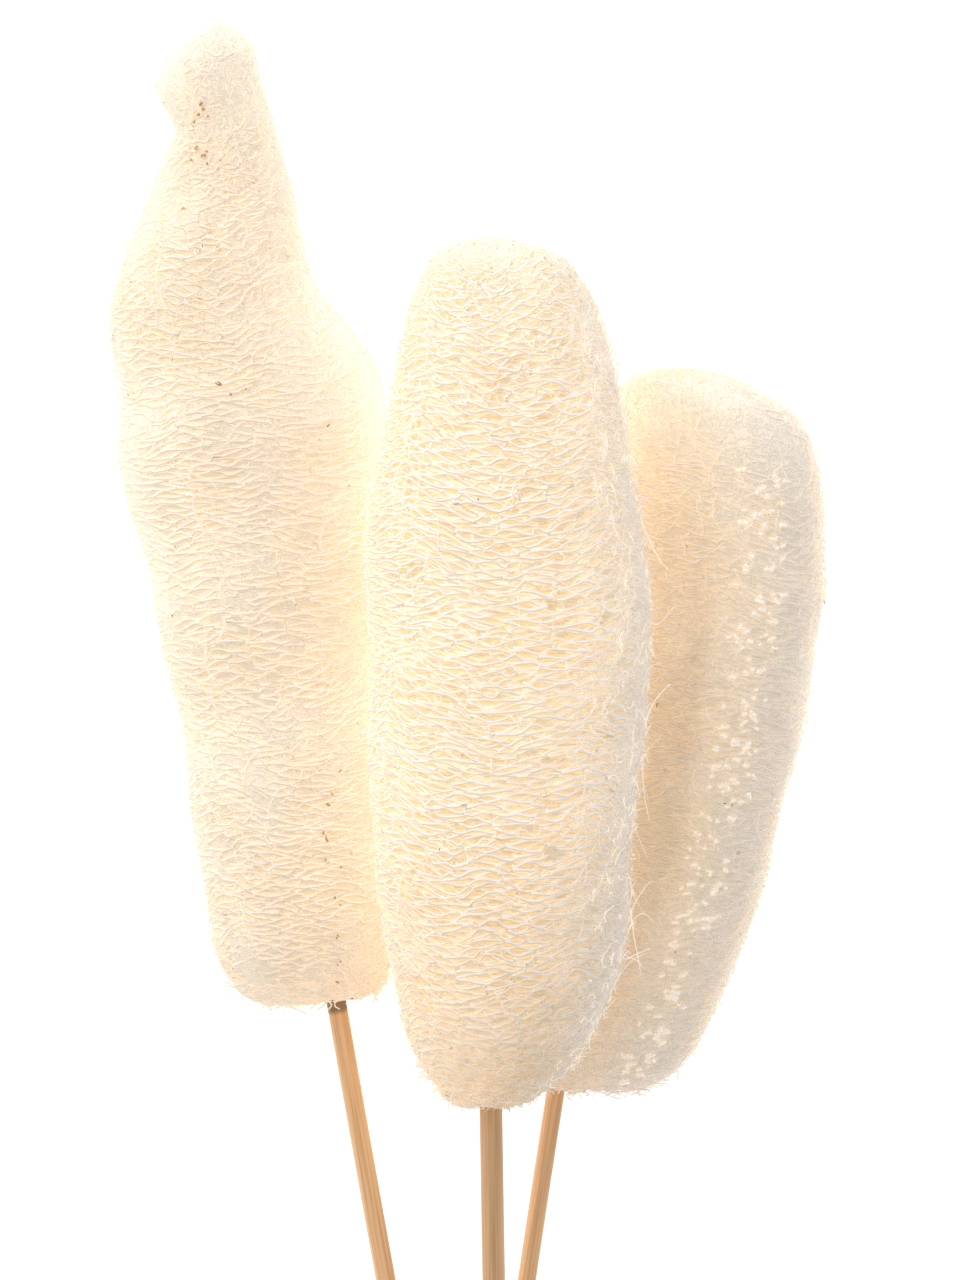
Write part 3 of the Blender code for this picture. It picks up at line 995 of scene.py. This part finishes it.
# White is painted light, and so is the stronger glow that goes with it.
PAINTED_LIGHT_WHITE = (0.98, 0.97, 0.94, 1.0)
SCRAP = (0.12, 0.07, 0.04, 1.0)
RUST = (0.74, 0.47, 0.22, 1.0)
PINK = (0.98, 0.89, 0.83, 1.0)
LEMON = (0.96, 0.92, 0.66, 1.0)
GLOW = 0.5
GLOW_SURFACE = (0.86, 0.72, 0.57, 1.0)
GLOW_DEPTH = (0.80, 0.62, 0.38, 1.0)
GLOW_MAT = (0.36, 0.29, 0.19, 1.0)
GLOW_TAN_AND_SHADE = (0.42, 0.31, 0.20, 1.0)
GLOW_PAINTED_SHADE = (0.33, 0.30, 0.29, 1.0)
GLOW_PAINTED_LIGHT = (0.82, 0.76, 0.67, 1.0)
# Pale is for bleached hairs and, on the short head's flecks, for painted glints; so is its glow.
PALE = (0.98, 0.93, 0.84, 1.0)
GLOW_PALE = (0.92, 0.82, 0.67, 1.0)
SCRAP_EDGE = 1.7  # the tint between the palest strands and the scraps


def with_tan_and_painted_light(finish, colour, tan, grey, white):
    """The colour, with the place's tan and painted shade, its grey of painted shade and its white
    of painted light mixed in.
    """
    colour = finish.mix(finish.value("tan") * 0.75, colour, tan)
    colour = finish.mix(finish.value("grey") * 0.7, colour, grey)
    return finish.mix(finish.value("white") * 0.7, colour, white)


def fibre_finish(name):
    """A dull finish whose glow is too weak and too finely spread to be sampled as a lamp."""
    finish = Finish(name, {"Roughness": 0.8, "Specular IOR Level": 0.2, "Emission Strength": GLOW})
    finish.material.cycles.emission_sampling = "NONE"
    return finish


def strand_finish():
    """Cream at the surface and straw in the depth, the straw partly painted light, each strand a
    little lighter or darker.
    """
    finish = fibre_finish("bleached_strands")
    depth = finish.value("depth")
    tint = finish.value("tint")
    # Mixes in the tan with its painted shade, the grey of painted shade and the white of painted
    # light.
    colour = with_tan_and_painted_light(finish, finish.mix(depth, CREAM, STRAW), TAN_AND_SHADE, PAINTED_SHADE_GREY, PAINTED_LIGHT_WHITE)
    patches = finish.noise(finish.place(), 260.0, 3.0)
    colour = finish.mix(finish.steps(patches, 0.5, 0.75) * 0.5, colour, PINK)
    colour = finish.mix(finish.steps(patches, 0.5, 0.25) * 0.5, colour, LEMON)
    light = 0.88 + tint * 0.12
    grey = finish.node("CombineColor", sockets={0: light, 1: light, 2: light})
    colour = finish.mix(1.0, colour, grey, "MULTIPLY")
    # Pale strands: bleached hairs, and on the short head painted glints.
    pale = (tint > PALE_TINT) * (tint - PALE_TINT)
    colour = finish.mix(pale, colour, PALE)
    scrap = tint > SCRAP_EDGE
    scrap_colour = finish.mix(tint - SCRAP_TINT, SCRAP, RUST)
    colour = finish.mix(scrap, colour, scrap_colour)
    glow = finish.mix(depth, GLOW_SURFACE, GLOW_DEPTH)
    # The glow gets the same painted shade and painted light.
    glow = with_tan_and_painted_light(finish, glow, GLOW_TAN_AND_SHADE, GLOW_PAINTED_SHADE, GLOW_PAINTED_LIGHT)
    glow = finish.mix(pale, glow, GLOW_PALE)
    glow = finish.mix(scrap, glow, SCRAP)
    finish.show({"Base Color": colour, "Emission Color": glow})
    return finish


def core_finish():
    """Fine pale lines on a darker ground: a net in the depth, and a curly web where it is felt.

    A line is drawn where a noise is close to one half. For the net, the noise is short along the
    run and long across it, so its lines close into lenses round the head.
    """
    finish = fibre_finish("matted_core")

    def lines(noise):
        """One where the noise is within 0.01 of a half, fading to none at 0.07."""
        apart = finish.node("Math", {"operation": "ABSOLUTE"}, {0: noise - 0.5})
        return finish.steps(apart, 0.07, 0.01)

    across = finish.node("SeparateXYZ", sockets={0: finish.place()}, output="X")
    upwards = finish.node("SeparateXYZ", sockets={0: finish.place()}, output="Z")
    run = finish.value("run")
    felt = finish.value("felt")
    where = finish.node("CombineXYZ", sockets={0: across * 170.0, 1: run * 1.2, 2: upwards * 170.0})
    net = lines(finish.noise(where, 1.0, 2.0))
    web = lines(finish.noise(finish.place(), 500.0, 2.0, 1.5))
    relief = net + (web - net) * felt
    ground = finish.mix(felt, PEACH, FELT)
    # The core's colour and glow get the same tan, painted shade and painted light.
    colour = with_tan_and_painted_light(finish, finish.mix(relief, ground, CREAM), TAN_AND_SHADE, PAINTED_SHADE_GREY, PAINTED_LIGHT_WHITE)
    surface_glow = with_tan_and_painted_light(finish, GLOW_SURFACE, GLOW_TAN_AND_SHADE, GLOW_PAINTED_SHADE, GLOW_PAINTED_LIGHT)
    glow = finish.mix(felt * (0.75 + 0.25 * relief), GLOW_MAT, surface_glow)
    bump = finish.node("Bump", sockets={"Height": relief, "Strength": 0.8, "Distance": 0.3 * MM})
    finish.show({"Base Color": colour, "Emission Color": glow, "Normal": bump})
    return finish


strands_look = strand_finish()
core_look = core_finish()
for look in (strands_look, core_look):
    print(look.material.name, "has", len(look.tree.nodes), "nodes")

# %% [markdown]
# ## Core, inner net and outer net
#
# Looking into a real head, the eye meets one net behind another until they blur. Modelling every
# layer would take millions of faces, so there are two, and the next is drawn on the core by its
# finish. Between the two lie a tangle of fibres round the head and links that join them. The core
# is the piece that stands for the CAD head.

# %% Make the nets of the heads
OUTER_LEVEL = -0.15  # mm from the skin to the net
INNER_LEVEL = -0.75
INNER_STRAND = 0.24  # radius in mm
TANGLE = Kind(400, 5, (5, 12), 2, (-0.8, -0.1), (-0.4, 0.4), 0.18, (-0.6, 0.6))
LINKS = Kind(220, 4, (2, 5), 1.5, (-0.5, 0), (-0.3, 0.3), 0.2, (0.9, 2.2))

for head in HEADS:
    seed = head.seed * 100
    outer_gap, inner_gap = head.gaps
    settle(make_core(head, core_look), "luffa_fibre", head.name)
    outer = ring_net(head, OUTER_CELL, outer_gap, OUTER_LEVEL, head.strand, seed + 1)
    settle(make_strands(head.name + "_outer_net", head, [outer], strands_look), "luffa_fibre")
    inner = ring_net(head, INNER_CELL, inner_gap, INNER_LEVEL, INNER_STRAND, seed + 2)
    between = [roving(head, TANGLE, seed + 3), roving(head, LINKS, seed + 4)]
    piece = make_strands(head.name + "_inner_net", head, [inner, *between], strands_look)
    settle(piece, "luffa_fibre")

# %% [markdown]
# ## Ribs, hairs and scraps
#
# Along the ribs the strands felt together into pale fuzzy lines. Elsewhere broken fibres stand
# off the surface, some curl back on themselves, and small dark scraps of skin or seed coat stay
# caught in the net. Hairs stand thickest where the outline is seen, as a halo, and round the
# base, where they make a hem with a few thick tufts. Each head has its own: the right flank of
# the middle one is the hairiest, the long one has brown pits on its neck and two rows of them
# below, dark bits that are partly their own brown and partly painted shade of small holes, and
# the short one has pale flecks along a line, which are painted glints.

# %% Make the loose fibres of the heads
OUTLINES = (0.0, 180.0)  # degrees at which a head's outline lies, seen from above


def window(low_run, high_run, low_degrees, high_degrees):
    """A place to grow in, with its angles turned from degrees to radians."""
    return low_run, high_run, math.radians(low_degrees), math.radians(high_degrees)


BASE = window(6.5, 17, 0, 360)
FLANK = window(12, 172, -45, 44)
EDGE = window(30, 165, -12, 14)
LINE = window(14, 146, 54, 80)
CORDS = Kind(320, 6, (4, 10), 2, (-0.2, 0.15), (-0.5, 0.3), 0.17, (0.5, 2.6))
FUZZ = Kind(300, 4, (1, 3), 5, (-0.1, 0.2), (0, 0.5), 0.09)
HALO = Kind(640, 4, (1, 3.5), 3.5, (-0.3, 0), (0.4, 1.9), 0.07)
HEM = Kind(170, 4, (1.5, 4.5), 4, (-0.4, 0), (0.6, 2.6), 0.10, place=BASE)
TUFTS = Kind(60, 6, (2.5, 6), 6, (-0.2, 0.2), (0.4, 2.2), 0.24, place=BASE)
HAIRS = Kind(240, 5, (1.5, 5), 3.5, (-0.4, 0.1), (0.1, 1.4), 0.075)
CURLS = Kind(40, 9, (4, 8), 6, (-0.1, 0.2), (0, 0.8), 0.15)
FLEECE = Kind(2600, 4, (1.2, 3.6), 5, (-0.15, 0.15), (0, 0.7), 0.08)
SCRAPS = Kind(18, 3, (0.4, 0.9), 1, (-0.1, 0.2), (0, 0.1), 0.13)
FLANK_FUZZ = Kind(900, 4, (1.5, 5), 5, (-0.1, 0.3), (0, 1.8), 0.10, place=FLANK)
FLANK_HAIRS = Kind(34, 8, (5, 12), 2.5, (0, 0.3), (0.8, 4.5), 0.14, place=FLANK)
FLANK_WOOL = Kind(420, 5, (2, 5), 6, (0, 0.3), (0.1, 1.5), 0.13, place=FLANK)
HANGING = Kind(16, 9, (6, 13), 2.5, (0.2, 0.4), (2.5, 6), 0.13, place=EDGE)
# The flecks are thick short pale strands along a line on the short head: painted glints.
GLINT_FLECKS = Kind(210, 4, (0.5, 1.9), 0.6, (-0.1, 0.1), (-0.1, 0.1), 0.42, (-0.7, 0.7), LINE)


def scraps(head, kind, rust, seed):
    """Short dark bits: their tint is SCRAP_TINT for black, and up to 1 more for rust brown."""
    bits = roving(head, kind, seed)
    return bits._replace(tint=SCRAP_TINT + rust + 0.2 * bits.tint)


def pits(count, radius, rust, seed, *place):
    """Dark bits in one place on the long head: pits, partly their own brown and partly painted
    shade of small holes.
    """
    kind = SCRAPS._replace(count=count, radius=radius, place=window(*place))
    return scraps(LEFT, kind, rust, seed)


def bleached_and_glinting(strands, share):
    """The same strands with the tint that the finish shows as that share of the way to pale:
    bleached hairs, and on the short head painted glints.
    """
    return strands._replace(tint=np.full(strands.tint.shape, PALE_TINT + share))


def fleece(head, seed):
    """Short curly fibres lying on the felted parts: of all the tries, those that fall on felt."""
    tries = roving(head, FLEECE, seed)
    luck = np.random.default_rng(seed + 1).random(FLEECE.count)
    kept = luck < felted(head, tries.run[:, 0], tries.angle[:, 0]) ** 1.5
    return tries._replace(**{
        key: getattr(tries, key)[kept] for key in ("run", "angle", "rise", "radius", "tint")
    })


own_fibres = {
    "luffa_left": [
        pits(12, 0.36, 0.9, 1190, 178, 204, 98, 122),
        pits(14, 0.28, 0.8, 1191, 16, 58, 68, 76),
        pits(5, 0.22, 0.6, 1192, 141, 143.5, 84, 98),
    ],
    "luffa_middle": [
        roving(MIDDLE, FLANK_FUZZ, 2390),
        bleached_and_glinting(roving(MIDDLE, FLANK_WOOL, 2392), 0.65),
        roving(MIDDLE, FLANK_HAIRS, 2391),
        bleached_and_glinting(roving(MIDDLE, HANGING, 2393), 0.65),
    ],
    # The short head's flecks are painted glints.
    "luffa_right": [bleached_and_glinting(roving(RIGHT, GLINT_FLECKS, 3790), 0.5)._replace(wide=1.4)],
}
for head in HEADS:
    seed = head.seed * 100
    loose = [
        gathered(head, roving(head, CORDS, seed + 5), head.ribs, 0.06, seed + 10),
        gathered(head, roving(head, FUZZ, seed + 6), head.ribs, 0.07, seed + 11),
        gathered(head, roving(head, HALO, seed + 14), OUTLINES, 0.3, seed + 13),
        roving(head, HEM, seed + 15),
        roving(head, TUFTS, seed + 16),
        roving(head, HAIRS, seed + 7),
        roving(head, CURLS, seed + 8),
        fleece(head, seed + 12),
        scraps(head, SCRAPS, 0.1, seed + 9),
        *own_fibres[head.name],
    ]
    settle(make_strands(head.name + "_loose_fibres", head, loose, strands_look), "luffa_fibre")

# %% [markdown]
# ## The cane stems
#
# Each stem is a stick of peeled cane, 4 to 5 mm thick. It goes straight into its head, bends
# gently to where the three cross, and ends in a plain cut on the table. The path is the same two
# curves that the CAD model has. Split cane isn't quite round: it has soft corners, so one side
# catches the light and the next is darker, with a straight edge between them. The photograph is
# so bright that no plain colour gets there, so the cane glows very faintly as well.

# %% The stems' paths and their soft-cornered section
STEM_RINGS = 60
STEM_SIDES = 24
HOLE_END_GAP = 0.8  # mm left free at the bottom of the hole
SOFTNESS = 0.6  # 1 for a round section, 0 for a square one


def stem_path(stem):
    """The middle line from the inner end to the foot: straight in the hole, then two curves."""
    entry = Vector(stem.entry)
    into = Vector(direction(stem.lean, stem.rise))
    crossing = Vector(stem.crossing)
    foot = Vector(stem.foot)
    inner_end = entry + (HOLE_DEPTH - HOLE_END_GAP) * into
    through = (entry - foot).normalized()
    away = (crossing - foot).normalized()
    third = (entry - crossing).length / 3.0
    upper = interpolate_bezier(
        entry, entry - third * into, crossing + third * through, crossing, STEM_RINGS,
    )
    third = (crossing - foot).length / 3.0
    lower = interpolate_bezier(
        crossing, crossing - third * through, foot + third * away, foot, STEM_RINGS,
    )
    return np.array([inner_end, *upper, *lower[1:]])


def make_stem(stem, corner, finish):
    """A closed tube whose section is between a circle and a square, with a corner at an angle."""
    line = stem_path(stem)
    ahead = unit(np.gradient(line, axis=0))
    side = unit(np.cross(ahead, (0.0, 0.0, 1.0)))
    up = np.cross(side, ahead)
    a = np.linspace(0.0, FULL_TURN, STEM_SIDES, endpoint=False)
    turned = a - math.radians(corner)
    square = 1.0 / np.maximum(np.abs(np.cos(turned)) + np.abs(np.sin(turned)), 1e-6)
    radius = stem.radius * (SOFTNESS + (1.0 - SOFTNESS) * square)
    ring = np.cos(a)[:, None] * side[:, None, :] + np.sin(a)[:, None] * up[:, None, :]
    points, faces = closed_tube(line[:, None, :] + radius[:, None] * ring, line[0], line[-1])
    rings_at = travelled(line)
    along = np.append(np.repeat(rings_at, STEM_SIDES), [0.0, rings_at[-1]])
    around = np.append(np.tile(np.arange(STEM_SIDES) / STEM_SIDES, len(line)), [0.5, 0.5])
    piece = lay_mesh(stem.name + "_cane", points * MM, faces, {"along": along, "around": around})
    finish.wear(piece)
    return piece


CANE_GLOW = (0.20, 0.11, 0.06, 1.0)
CANE_LIGHT = np.array((0.70, 0.43, 0.22))
CANE_DARK = np.array((0.52, 0.30, 0.14))
BAND = (0.10, 0.045, 0.015, 1.0)
BAND_END = (41.5, 43.0)  # mm along the stem where the dark band fades out


def cane_finish(name, light, dark, band):
    """Lengthwise grain in two browns, and a dark band where the stem enters its head."""
    constants = {"Roughness": 0.5, "Emission Color": CANE_GLOW, "Emission Strength": GLOW}
    finish = Finish(name, constants)
    finish.material.cycles.emission_sampling = "NONE"
    along = finish.value("along")
    around = finish.value("around")
    where = finish.node("CombineXYZ", sockets={0: around * 26.0, 1: along * 0.035, 2: 0.0})
    grain = finish.noise(where, 1.0, 3.0)
    colour = finish.mix(finish.steps(grain, 0.35, 0.7), light, dark)
    if band:
        dark_band = 1.0 - finish.steps(along, *BAND_END)
        colour = finish.mix(dark_band * 0.8, colour, BAND)
    finish.show({"Base Color": colour})
    return finish


# Each stem with the degrees at which its corner stands, and how bright its cane is.
STEM_LOOKS = ((STEM_LEFT, 60.0, 1.35), (STEM_MIDDLE, 90.0, 1.0), (STEM_RIGHT, 70.0, 1.25))
for stem, corner, brightness in STEM_LOOKS:
    light, dark = ((*(brightness * colour), 1.0) for colour in (CANE_LIGHT, CANE_DARK))
    cane = cane_finish(stem.name + "_finish", light, dark, stem is STEM_LEFT)
    settle(make_stem(stem, corner, cane), "cane", stem.name)
